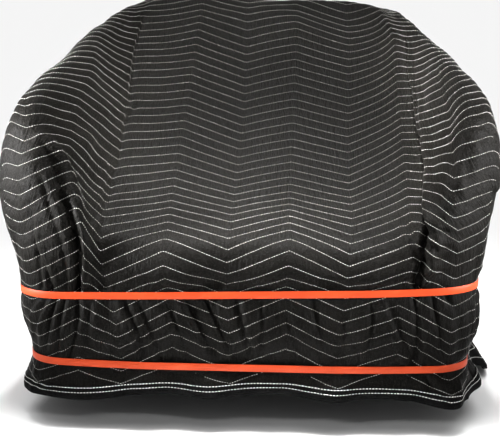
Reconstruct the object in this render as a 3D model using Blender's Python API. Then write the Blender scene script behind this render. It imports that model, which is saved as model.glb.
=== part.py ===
"""A quilted moving pad draped over an upholstered armchair shape and strapped with two rubber bands.

The pad is one hollow cloth, open at the bottom. It faces -Y, +Z is up, and the origin lies
under the top of the cloth, where the top of a seat back carries it. Sizes are in metres.
"""

import math

import bmesh
import bpy
import numpy as np

PAD_THICKNESS = 0.005
SEAT_BACK_TOP = (0.0, 0.388, 0.826)

BINDING_WIDTH = 0.026
BINDING_THICKNESS = 0.001

BAND_HEIGHT = 0.014
BAND_THICKNESS = 0.0015
BAND_LAND = 0.018
LOWER_BAND_LEVEL = 0.168
UPPER_BAND_LEVEL = 0.314
LOWER_BAND_TILT = -0.004
UPPER_BAND_TILT = 0.024

GAP = 0.0003
BINDING_GAP = 0.00045

# Sections along the cloth from the front hem over the top to the back hem, in millimetres
# above the floor and from the middle: the middle line, the creases beside the arms, the
# ridge along each arm and the outer edge of the front, the arms and the back.
# name, middle (y, z), left crease x, right crease x, crease (y, z), ridge (x, y, z), edge (x, y, z)
SECTIONS = (
    ("hem", (-352, 114), 300, 315, (-349, 104), (396, -338, 97), (440, -296, 93)),
    ("lower band", (-340, 168), 298, 312, (-336, 168), (388, -322, 168), (424, -292, 168)),
    ("skirt", (-354, 240), 300, 318, (-349, 240), (398, -336, 240), (440, -300, 240)),
    ("upper band", (-343, 314), 298, 318, (-339, 314), (396, -326, 314), (441, -292, 314)),
    ("belly", (-357, 362), 294, 322, (-350, 372), (408, -338, 410), (464, -300, 404)),
    ("lip", (-341, 411), 288, 328, (-334, 436), (422, -328, 556), (485, -290, 528)),
    ("seat front", (-298, 436), 284, 332, (-284, 466), (428, -282, 642), (481, -250, 612)),
    ("seat", (-200, 476), 280, 334, (-196, 502), (418, -192, 690), (460, -172, 662)),
    ("low slope", (-60, 546), 276, 332, (-62, 574), (384, -58, 734), (417, -48, 712)),
    ("slope", (100, 641), 281, 322, (84, 656), (356, 74, 773), (383, 82, 755)),
    ("high slope", (250, 741), 280, 304, (214, 748), (328, 196, 806), (350, 202, 790)),
    ("crown", (362, 822), 270, 284, (322, 814), (302, 304, 824), (319, 302, 811)),
    ("back top", (400, 832), 262, 272, (396, 832), (286, 382, 826), (306, 376, 813)),
    ("back turn", (436, 800), 262, 268, (434, 796), (300, 424, 786), (322, 408, 770)),
    ("back", (444, 590), 270, 270, (444, 590), (352, 438, 590), (384, 424, 590)),
    ("back upper band", (434, 314), 280, 280, (434, 314), (378, 428, 314), (414, 402, 314)),
    ("back skirt", (444, 240), 280, 280, (444, 240), (384, 438, 240), (420, 410, 240)),
    ("back lower band", (432, 168), 278, 278, (432, 168), (376, 424, 168), (410, 398, 168)),
    ("back hem", (444, 96), 280, 280, (444, 96), (386, 440, 98), (426, 414, 100)),
)
# How far the ridge and the edge of the arms and of the front lie from the table's places, in
# millimetres: left side out and up, right side out and up.
SIDE_SHIFTS = {
    "lower band": (7, 0, 0, 0),
    "upper band": (8, 0, 0, 0),
    "belly": (2, 0, -12, 0),
    "lip": (-4, 0, -9, 0),
    "seat front": (0, 2, 0, 3),
    "seat": (4, 2, 5, 4),
    "low slope": (2, 2, 6, 7),
    "slope": (5, 5, 4, -3),
    "high slope": (0, 0, -4, -3),
    "crown": (0, 0, -3, 8),
}
COLUMN_STEPS = (2, 3, 5, 5, 3, 2)

# The right shoulder of the back is lower than the left one.
SHOULDER_SECTIONS = ("crown", "back top", "back turn")
SHOULDER_DROP = 0.018
SHOULDER_REACH = 0.17

# Outward bow of the side walls halfway back, by level, in millimetres.
SIDE_BOW = (("hem", 26), ("lower band", 16), ("skirt", 30), ("upper band", 18))

# Hem flares beside the chair: side, place from front to back (0 to 1), spread, out and drop.
FLARES = (
    (1, 0.62, 0.20, 0.050, 0.045),
    (-1, 0.55, 0.20, 0.020, 0.025),
    (1, 0.14, 0.08, 0.014, 0.004),
    (-1, 0.12, 0.08, 0.010, 0.000),
)

# Waves of the loose cloth: outward size and length of the wave, for hem and pleated stretches.
HEM_WAVE = (0.0045, 0.118)
HEM_DIP = (0.0050, 0.236)
PLEAT_WAVE = (0.0035, 0.092)

CLOTH_COLOR = (0.030, 0.028, 0.027, 1.0)
BINDING_COLOR = (0.020, 0.019, 0.018, 1.0)
BAND_COLOR = (0.870, 0.105, 0.025, 1.0)


def clear_scene():
    """Remove every object, so that the script starts from an empty scene."""
    for item in list(bpy.data.objects):
        bpy.data.objects.remove(item, do_unlink=True)


def make_material(name, color, roughness):
    """Return a plain Principled material."""
    material = bpy.data.materials.new(name)
    material.use_nodes = True
    shader = material.node_tree.nodes["Principled BSDF"]
    shader.inputs["Base Color"].default_value = color
    shader.inputs["Roughness"].default_value = roughness
    shader.inputs["Metallic"].default_value = 0.0
    return material


def smooth_path(knots, steps):
    """Return points on a smooth curve through the knots, with so many steps in each interval."""
    knots = np.asarray(knots, dtype=float)
    lengths = np.linalg.norm(np.diff(knots, axis=0), axis=1)
    slopes = np.diff(knots, axis=0) / lengths[:, None]
    tangents = np.empty_like(knots)
    tangents[0], tangents[-1] = slopes[0], slopes[-1]
    before, after = lengths[:-1, None], lengths[1:, None]
    tangents[1:-1] = (slopes[1:] * before + slopes[:-1] * after) / (before + after)
    points = [knots[0]]
    for k, count in enumerate(steps):
        for step in range(1, count + 1):
            t = step / count
            ease_start, ease_end = t * (1 - t) ** 2, t * t * (t - 1)
            blend = t * t * (3 - 2 * t)
            points.append(knots[k] * (1 - blend) + knots[k + 1] * blend
                          + lengths[k] * (ease_start * tangents[k] + ease_end * tangents[k + 1]))
    return np.array(points)


def section_knots(section):
    """Return a section's seven knots from the left edge to the right edge, in metres."""
    name, middle, left_crease, right_crease, crease, ridge, edge = section
    knots = np.array((
        (-edge[0], edge[1], edge[2]),
        (-ridge[0], ridge[1], ridge[2]),
        (-left_crease, *crease),
        (0, *middle),
        (right_crease, *crease),
        (ridge[0], ridge[1], ridge[2]),
        (edge[0], edge[1], edge[2]),
    )) / 1000
    left_out, left_up, right_out, right_up = np.array(SIDE_SHIFTS.get(name, (0, 0, 0, 0))) / 1000
    knots[:2] += (-left_out, 0.0, left_up)
    knots[5:] += (right_out, 0.0, right_up)
    if "lower band" in name:
        knots[:, 2] += LOWER_BAND_TILT * knots[:, 0]
    if "upper band" in name:
        knots[:, 2] += UPPER_BAND_TILT * knots[:, 0]
    if name in SHOULDER_SECTIONS:
        knots[:, 2] -= SHOULDER_DROP * np.clip(knots[:, 0] / SHOULDER_REACH, 0.0, 1.0)
    return knots


def expanded_stations():
    """Return the stations' names and knots, with a seam above each hem and a land at each band."""
    names, stations, steps = [], [], []

    def add(name, knots, count):
        names.append(name)
        stations.append(knots)
        steps.append(count)

    for section in SECTIONS:
        name, knots = section[0], section_knots(section)
        at_back = name.startswith("back")
        if name.endswith("hem"):
            seam = knots + np.array((0.0, 0.002 if at_back else -0.002, BINDING_WIDTH))
            pair = (("seam", seam), ("hem", knots)) if at_back else (("hem", knots), ("seam", seam))
            add(pair[0][0], pair[0][1], 1)
            add(pair[1][0], pair[1][1], 1)
        elif name.endswith("band"):
            half = np.array((0.0, 0.0, BAND_LAND / 2 if not at_back else -BAND_LAND / 2))
            short = name.removeprefix("back ")
            add(short + " near", knots - half, 1)
            add(short + " far", knots + half, 2)
        else:
            add(name, knots, 2)
    for k in range(len(names) - 1):
        if names[k] in ("seam", "hem") or names[k + 1] in ("seam", "hem"):
            steps[k] = 1
    return names, stations, steps[:-1]


def strip_grid():
    """Return the grid over front, seat, arms and back, and the rows where each station lies."""
    names, stations, steps = expanded_stations()
    lines = [smooth_path([knots[k] for knots in stations], steps) for k in range(7)]
    rows = [smooth_path([line[r] for line in lines], COLUMN_STEPS) for r in range(len(lines[0]))]
    places = {}
    row = 0
    for k, name in enumerate(names):
        places.setdefault(name, []).append(row)
        row += steps[k] if k < len(steps) else 0
    return np.array(rows), places


def bump(place, centre, spread):
    """Return a smooth hump between 0 and 1 around a centre."""
    distance = (place - centre) / spread
    return math.exp(-distance * distance)


def side_wall(grid, places, side):
    """Return the side wall's grid: rows from the hem up to the arm, columns from front to back."""
    column = 0 if side < 0 else grid.shape[1] - 1
    lip_row, turn_row = places["lip"][0], places["back turn"][0]
    front = grid[:lip_row + 1, column]
    back = grid[:turn_row - 1:-1, column]
    top = grid[lip_row:turn_row + 1, column]
    run = np.concatenate(((0.0,), np.cumsum(np.linalg.norm(np.diff(top, axis=0), axis=1))))
    run /= run[-1]
    band_row = places["upper band far"][0]
    levels, bows = [], []
    for name, bow in SIDE_BOW:
        for suffix in ("", " near", " far"):
            if name + suffix in places:
                levels.append(places[name + suffix][0])
                bows.append(bow / 1000)
    wall = np.empty((lip_row + 1, len(top), 3))
    arch = 4 * run * (1 - run)
    for row in range(band_row + 1):
        line = front[row] * (1 - run[:, None]) + back[row] * run[:, None]
        line[:, 0] += side * arch * np.interp(row, levels, bows)
        wall[row] = line
    low, high = wall[band_row].copy(), top
    for row in range(band_row, lip_row + 1):
        t = (row - band_row) / (lip_row - band_row)
        ruled = low * (1 - t) + high * t
        ends = front[row] * (1 - run[:, None]) + back[row] * run[:, None]
        corner_start = front[band_row] * (1 - t) + front[lip_row] * t
        corner_end = back[band_row] * (1 - t) + back[lip_row] * t
        corners = corner_start * (1 - run[:, None]) + corner_end * run[:, None]
        wall[row] = ruled + ends - corners
        wall[row, :, 0] += side * 0.012 * math.sin(math.pi * t) * arch
    for flare_side, centre, spread, out, drop in FLARES:
        if flare_side != side:
            continue
        for row, share in ((0, 1.0), (1, 0.75)):
            for k, place in enumerate(run):
                hump = share * bump(place, centre, spread)
                wall[row, k] += np.array((side * out * hump, 0.0, -drop * hump))
    return wall


class Drape:
    """The outer surface of the draped pad as one grid of shared points."""

    def __init__(self):
        """Work out the points and the triangles."""
        self.grid, self.places = strip_grid()
        self.rows, self.columns = self.grid.shape[:2]
        self.lip = self.places["lip"][0]
        self.turn = self.places["back turn"][0]
        self.walls = {side: side_wall(self.grid, self.places, side) for side in (-1, 1)}
        self.wall_columns = self.turn - self.lip
        self.points = []
        self.index = {}
        self.triangles = []
        self.collect_points()
        self.wave_loose_rows()
        self.collect_triangles()

    def strip_key(self, row, column):
        """Return the key of a point of the strip."""
        return ("strip", row, column)

    def wall_key(self, side, row, column):
        """Return the key of a side wall's point, which is a strip point along three borders."""
        edge = 0 if side < 0 else self.columns - 1
        if column == 0:
            return self.strip_key(row, edge)
        if column == self.wall_columns:
            return self.strip_key(self.rows - 1 - row, edge)
        if row == self.lip:
            return self.strip_key(self.lip + column, edge)
        return (side, row, column)

    def add_point(self, key, point):
        """Store one point under its key."""
        self.index[key] = len(self.points)
        self.points.append(np.array(point))

    def collect_points(self):
        """Store the strip's points and the inner points of both side walls."""
        for row in range(self.rows):
            for column in range(self.columns):
                self.add_point(self.strip_key(row, column), self.grid[row, column])
        for side, wall in self.walls.items():
            for row in range(self.lip):
                for column in range(1, self.wall_columns):
                    self.add_point((side, row, column), wall[row, column])

    def loop(self, row):
        """Return the point numbers around the pad at one level, seen from above, clockwise."""
        keys = [self.strip_key(row, column) for column in range(self.columns)]
        keys += [self.wall_key(1, row, column) for column in range(1, self.wall_columns)]
        keys += [self.strip_key(self.rows - 1 - row, column)
                 for column in range(self.columns - 1, -1, -1)]
        keys += [self.wall_key(-1, row, column) for column in range(self.wall_columns - 1, 0, -1)]
        return [self.index[key] for key in keys]

    def wave_loose_rows(self):
        """Wave the hem and pleat the cloth between and above the bands."""
        pleated = {self.places["skirt"][0]: 1.0, self.places["belly"][0]: 0.6}
        for row, share in ((0, 1.0), (1, 0.7)):
            self.wave_row(row, HEM_WAVE[0] * share, HEM_WAVE[1], HEM_DIP[0] * share)
        for row, share in pleated.items():
            self.wave_row(row, PLEAT_WAVE[0] * share, PLEAT_WAVE[1], 0.0)

    def wave_row(self, row, out, length, dip):
        """Move a level's points out and in, and its hem up and down, along a wave."""
        numbers = self.loop(row)
        centre = np.mean([self.points[number] for number in numbers], axis=0)
        walked = 0.0
        previous = self.points[numbers[0]].copy()
        for number in numbers:
            point = self.points[number]
            walked += np.linalg.norm(point - previous)
            previous = point.copy()
            outward = (point - centre) * np.array((1.0, 1.0, 0.0))
            outward /= np.linalg.norm(outward)
            phase = 2 * math.pi * walked
            swell = math.sin(phase / length) + 0.5 * math.sin(phase / (1.7 * length) + 1.3)
            point += outward * out * swell
            point[2] += dip * math.sin(phase / HEM_DIP[1] + 0.6)

    def add_cell(self, corners, flip):
        """Split one cell of a grid into two triangles, with mirrored diagonals on the left."""
        a, b, c, d = (self.index[key] for key in corners)
        self.triangles += ((b, a, d), (b, d, c)) if flip else ((a, b, c), (a, c, d))

    def collect_triangles(self):
        """Cover the strip and both side walls, faces outward."""
        for row in range(self.rows - 1):
            for column in range(self.columns - 1):
                self.add_cell((self.strip_key(row, column), self.strip_key(row, column + 1),
                               self.strip_key(row + 1, column + 1),
                               self.strip_key(row + 1, column)), False)
        for side in (-1, 1):
            for row in range(self.lip):
                for column in range(self.wall_columns):
                    self.add_cell((self.wall_key(side, row, column),
                                   self.wall_key(side, row, column + 1),
                                   self.wall_key(side, row + 1, column + 1),
                                   self.wall_key(side, row + 1, column)), side < 0)

    def to_origin(self, point):
        """Return a point measured from the top of the seat back."""
        return tuple(np.asarray(point) - np.array(SEAT_BACK_TOP))


def object_from(name, points, faces, material):
    """Make one mesh object from points and faces."""
    mesh = bpy.data.meshes.new(name)
    mesh.from_pydata([tuple(point) for point in points], [], faces)
    mesh.validate()
    work = bmesh.new()
    work.from_mesh(mesh)
    bmesh.ops.recalc_face_normals(work, faces=work.faces)
    work.to_mesh(mesh)
    work.free()
    mesh.materials.append(material)
    item = bpy.data.objects.new(name, mesh)
    bpy.context.scene.collection.objects.link(item)
    mesh.shade_smooth()
    mesh.set_sharp_from_angle(angle=math.radians(50))
    return item


def surface_normals(drape):
    """Return the outward normal at every point of the outer surface."""
    points, triangles = np.array(drape.points), np.array(drape.triangles)
    a, b, c = (points[triangles[:, k]] for k in range(3))
    across = np.cross(b - a, c - a)
    normals = np.zeros_like(points)
    for k in range(3):
        np.add.at(normals, triangles[:, k], across)
    return normals / np.linalg.norm(normals, axis=1)[:, None]


def make_pad(drape, material):
    """Make the quilted cloth: the outer surface, a second one inside it and the rim between."""
    outer = [drape.to_origin(point) for point in drape.points]
    inner = [np.array(point) - normal * PAD_THICKNESS
             for point, normal in zip(outer, surface_normals(drape))]
    count = len(outer)
    faces = list(drape.triangles)
    faces += [tuple(count + k for k in triangle[::-1]) for triangle in drape.triangles]
    rim = drape.loop(0)
    for here, there in zip(rim, rim[1:] + rim[:1]):
        faces += ((here, count + here, there), (there, count + here, count + there))
    return object_from("pad", outer + inner, faces, material)


def make_binding(drape, material):
    """Fold a strip over the pad's edge, all the way round."""
    normals = surface_normals(drape)
    hem, seam = drape.loop(0), drape.loop(1)
    near, far = BINDING_GAP, BINDING_GAP + BINDING_THICKNESS
    along_pad = (2, 5, 6)
    points, faces = [], []
    for low, high in zip(hem, seam):
        edge = np.array(drape.to_origin(drape.points[low]))
        inside = np.array(drape.to_origin(drape.points[high]))
        down = (edge - inside) / np.linalg.norm(edge - inside)
        edge_out, seam_out = normals[low], normals[high]
        points += [
            inside + seam_out * near,
            edge + edge_out * near + down * near,
            edge - edge_out * (PAD_THICKNESS + near) + down * near,
            inside - seam_out * (PAD_THICKNESS + near),
            inside - seam_out * (PAD_THICKNESS + far),
            edge - edge_out * (PAD_THICKNESS + far) + down * far,
            edge + edge_out * far + down * far,
            inside + seam_out * far,
        ]
    ring = len(hem)
    for place in range(ring):
        here, there = 8 * place, 8 * ((place + 1) % ring)
        for k in range(8):
            k_next = (k + 1) % 8
            if k in along_pad:
                faces += ((here + k, there + k, there + k_next),
                          (here + k, there + k_next, here + k_next))
            else:
                faces += ((here + k, there + k, here + k_next),
                          (there + k, there + k_next, here + k_next))
    return object_from("binding", points, faces, material)


def convex_outline(points):
    """Return the convex outline of flat points, counter-clockwise."""
    ordered = sorted({(round(x, 6), round(y, 6)) for x, y in points})

    def half(sequence):
        chain = []
        for point in sequence:
            while len(chain) > 1:
                (ax, ay), (bx, by) = chain[-2], chain[-1]
                if (bx - ax) * (point[1] - ay) - (by - ay) * (point[0] - ax) > 1e-9:
                    break
                chain.pop()
            chain.append(point)
        return chain[:-1]

    return half(ordered) + half(ordered[::-1])


def grown_outline(outline, distance):
    """Return a convex outline moved outward by a distance."""
    count = len(outline)
    grown = []
    for k in range(count):
        before = np.array(outline[k]) - np.array(outline[k - 1])
        after = np.array(outline[(k + 1) % count]) - np.array(outline[k])
        normal_before = np.array((before[1], -before[0])) / np.linalg.norm(before)
        normal_after = np.array((after[1], -after[0])) / np.linalg.norm(after)
        middle = normal_before + normal_after
        middle /= np.linalg.norm(middle)
        grown.append(np.array(outline[k]) + middle * distance / float(middle @ normal_after))
    return grown


def make_band(name, drape, level, tilt, material):
    """Stretch a flat rubber band around the pad: it bridges the hollows between the corners."""
    land = [drape.points[number] for row in ("near", "far")
            for number in drape.loop(drape.places[f"{name} {row}"][0])]
    outline = convex_outline([(point[0], point[1]) for point in land])
    inner = grown_outline(outline, GAP)
    outer = grown_outline(outline, GAP + BAND_THICKNESS)
    half = BAND_HEIGHT / 2
    points, faces = [], []
    for near, far in zip(inner, outer):
        for flat, lift in ((near, -half), (far, -half), (far, half), (near, half)):
            height = level + tilt * flat[0] + lift
            points.append(drape.to_origin((flat[0], flat[1], height)))
    ring = len(inner)
    for place in range(ring):
        here, there = 4 * place, 4 * ((place + 1) % ring)
        for k in range(4):
            k_next = (k + 1) % 4
            faces.append((here + k, here + k_next, there + k_next, there + k))
    lower, upper = name.split()[0], name.split()[1]
    return object_from(f"{upper}_{lower}", points, faces, material)


def main():
    """Build the pad, its binding and the two bands."""
    clear_scene()
    cloth = make_material("quilted cloth", CLOTH_COLOR, 0.75)
    tape = make_material("binding tape", BINDING_COLOR, 0.70)
    rubber = make_material("orange rubber", BAND_COLOR, 0.55)
    drape = Drape()
    make_pad(drape, cloth)
    make_binding(drape, tape)
    make_band("lower band", drape, LOWER_BAND_LEVEL, LOWER_BAND_TILT, rubber)
    make_band("upper band", drape, UPPER_BAND_LEVEL, UPPER_BAND_TILT, rubber)


main()
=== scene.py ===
"""A black zigzag-quilted moving pad, draped over an armchair shape and strapped with two bands.

The pad is one sheet of quilted cloth. Its form is a grid over the front, the seat slope, the arms and
the back, with a wall of cloth at each side. Sizes are in metres, and the origin lies under the top of
the cloth, where the top of a seat back carries it.
"""

from __future__ import annotations

import logging
import math
import random
from dataclasses import dataclass, field
from enum import Enum

import bpy
import numpy as np
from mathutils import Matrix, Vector

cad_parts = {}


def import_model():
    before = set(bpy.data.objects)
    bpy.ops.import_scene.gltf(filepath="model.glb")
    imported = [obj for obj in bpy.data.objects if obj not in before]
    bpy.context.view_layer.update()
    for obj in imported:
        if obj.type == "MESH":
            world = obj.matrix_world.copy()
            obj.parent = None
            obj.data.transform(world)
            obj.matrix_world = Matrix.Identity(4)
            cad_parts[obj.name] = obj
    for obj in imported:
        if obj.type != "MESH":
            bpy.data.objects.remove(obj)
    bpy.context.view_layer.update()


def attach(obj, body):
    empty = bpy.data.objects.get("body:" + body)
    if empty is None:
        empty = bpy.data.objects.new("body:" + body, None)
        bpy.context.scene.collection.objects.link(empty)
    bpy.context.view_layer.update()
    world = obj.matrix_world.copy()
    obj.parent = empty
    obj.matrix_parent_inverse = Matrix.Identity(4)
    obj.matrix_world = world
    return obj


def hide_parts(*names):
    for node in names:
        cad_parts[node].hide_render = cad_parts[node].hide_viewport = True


LOG = logging.getLogger("moving_pad")
SEAT_BACK_TOP = (0.0, 0.388, 0.826)

# Sections along the cloth from the front hem over the top to the back hem, in millimetres above the
# floor and from the middle line.
# name, middle (y, z), left crease x, right crease x, crease (y, z), ridge (x, y, z), edge (x, y, z)
SECTIONS = (
    ("hem", (-352, 114), 300, 315, (-349, 104), (396, -338, 97), (440, -296, 93)),
    ("lower band", (-340, 168), 298, 312, (-336, 168), (388, -322, 168), (424, -292, 168)),
    ("skirt", (-354, 240), 300, 318, (-349, 240), (398, -336, 240), (440, -300, 240)),
    ("upper band", (-343, 314), 298, 318, (-339, 314), (396, -326, 314), (441, -292, 314)),
    ("belly", (-357, 362), 294, 322, (-350, 372), (408, -338, 410), (464, -300, 404)),
    ("lip", (-341, 411), 288, 328, (-334, 436), (422, -328, 556), (485, -290, 528)),
    ("seat front", (-298, 436), 284, 332, (-284, 466), (428, -282, 642), (481, -250, 612)),
    ("seat", (-200, 476), 280, 334, (-196, 502), (418, -192, 690), (460, -172, 662)),
    ("low slope", (-60, 546), 276, 332, (-62, 574), (384, -58, 734), (417, -48, 712)),
    ("slope", (100, 641), 281, 322, (84, 656), (356, 74, 773), (383, 82, 755)),
    ("high slope", (250, 741), 280, 304, (214, 748), (328, 196, 806), (350, 202, 790)),
    ("crown", (362, 822), 270, 284, (322, 814), (302, 304, 824), (319, 302, 811)),
    ("back top", (400, 832), 262, 272, (396, 832), (286, 382, 826), (306, 376, 813)),
    ("back turn", (436, 800), 262, 268, (434, 796), (300, 424, 786), (322, 408, 770)),
    ("back", (444, 590), 270, 270, (444, 590), (352, 438, 590), (384, 424, 590)),
    ("back upper band", (434, 314), 280, 280, (434, 314), (378, 428, 314), (414, 402, 314)),
    ("back skirt", (444, 240), 280, 280, (444, 240), (384, 438, 240), (420, 410, 240)),
    ("back lower band", (432, 168), 278, 278, (432, 168), (376, 424, 168), (410, 398, 168)),
    ("back hem", (444, 96), 280, 280, (444, 96), (386, 440, 98), (426, 414, 100)),
)

# How far the ridge and the edge of the arms and of the front lie from the table's places, in
# millimetres: left side out and up, right side out and up.
SIDE_SHIFTS = {
    "lower band": (7, 0, 0, 0),
    "upper band": (8, 0, 0, 0),
    "belly": (2, 0, -12, 0),
    "lip": (-4, 0, -9, 0),
    "seat front": (0, 2, 0, 3),
    "seat": (4, 2, 5, 4),
    "low slope": (2, 2, 6, 7),
    "slope": (5, 5, 4, -3),
    "high slope": (0, 0, -4, -3),
    "crown": (0, 0, -3, 8),
}

# Where the corners of the zigzag lie, in millimetres. For places along the cloth: how far each corner
# is from the middle column, and how far the cloth has crept there from a plain lay. The corners run
# from the left side to the right one: valley, peak, valley, peak, middle valley, and so on. A program
# measured the numbers on the photographed lines, and they were then smoothed, so they are data and not
# a design.
CORNERS = (
    (80, (-420, -330, -244, -143, -31, 74, 174, 285, 390), (6, -1, 2, -22, -5, -21, -3, -20, -1)),
    (157, (-425, -325, -250, -147, -36, 74, 180, 288, 390), (9, -5, 6, -13, -1, -15, -1, -10, 3)),
    (235, (-432, -318, -272, -157, -39, 76, 191, 302, 396), (12, -12, 13, -4, 9, -6, 7, -5, 5)),
    (314, (-441, -318, -277, -156, -36, 78, 196, 311, 398), (11, -12, 14, -6, 13, -11, 15, -6, 3)),
    (392, (-470, -365, -280, -157, -35, 78, 200, 312, 425), (13, -11, 16, -2, 18, -1, 17, -18, 12)),
    (470, (-518, -411, -282, -159, -33, 78, 199, 313, 473), (6, -1, 16, 2, 25, 15, 19, -26, 17)),
    (549, (-525, -422, -284, -158, -32, 77, 197, 312, 484), (6, 1, 2, 1, 30, 20, 25, -28, 13)),
    (627, (-550, -430, -283, -156, -31, 78, 196, 313, 488), (11, 1, -9, -7, 32, 21, 28, -24, 21)),
    (706, (-570, -438, -284, -153, -30, 79, 196, 314, 490), (28, -1, -18, -14, 29, 19, 25, -20, 21)),
    (784, (-580, -442, -283, -153, -29, 80, 198, 315, 492), (38, -1, -22, -17, 26, 15, 21, -16, 29)),
    (862, (-580, -444, -282, -153, -30, 80, 200, 315, 492), (46, 3, -21, -20, 24, 8, 19, -8, 37)),
    (941, (-570, -440, -281, -153, -31, 82, 201, 318, 490), (46, 11, -12, -22, 19, 4, 17, 2, 37)),
    (1019, (-530, -420, -278, -152, -32, 83, 203, 326, 480), (36, 11, -2, -18, 13, 1, 11, 8, 27)),
    (1097, (-505, -395, -275, -151, -34, 83, 204, 326, 455), (16, 6, -1, -14, 10, 4, 9, 4, 17)),
    (1300, (-496, -381, -266, -151, -36, 79, 194, 309, 424), (-14, -9, -6, -2, 0, -1, -3, -8, -13)),
)


class Fold(Enum):
    """The kinds of fold in the loose cloth."""

    TUCK = "narrow valley with a raised lip beside it"
    RIDGE = "rounded ridge"
    HOLLOW = "soft valley"


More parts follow.
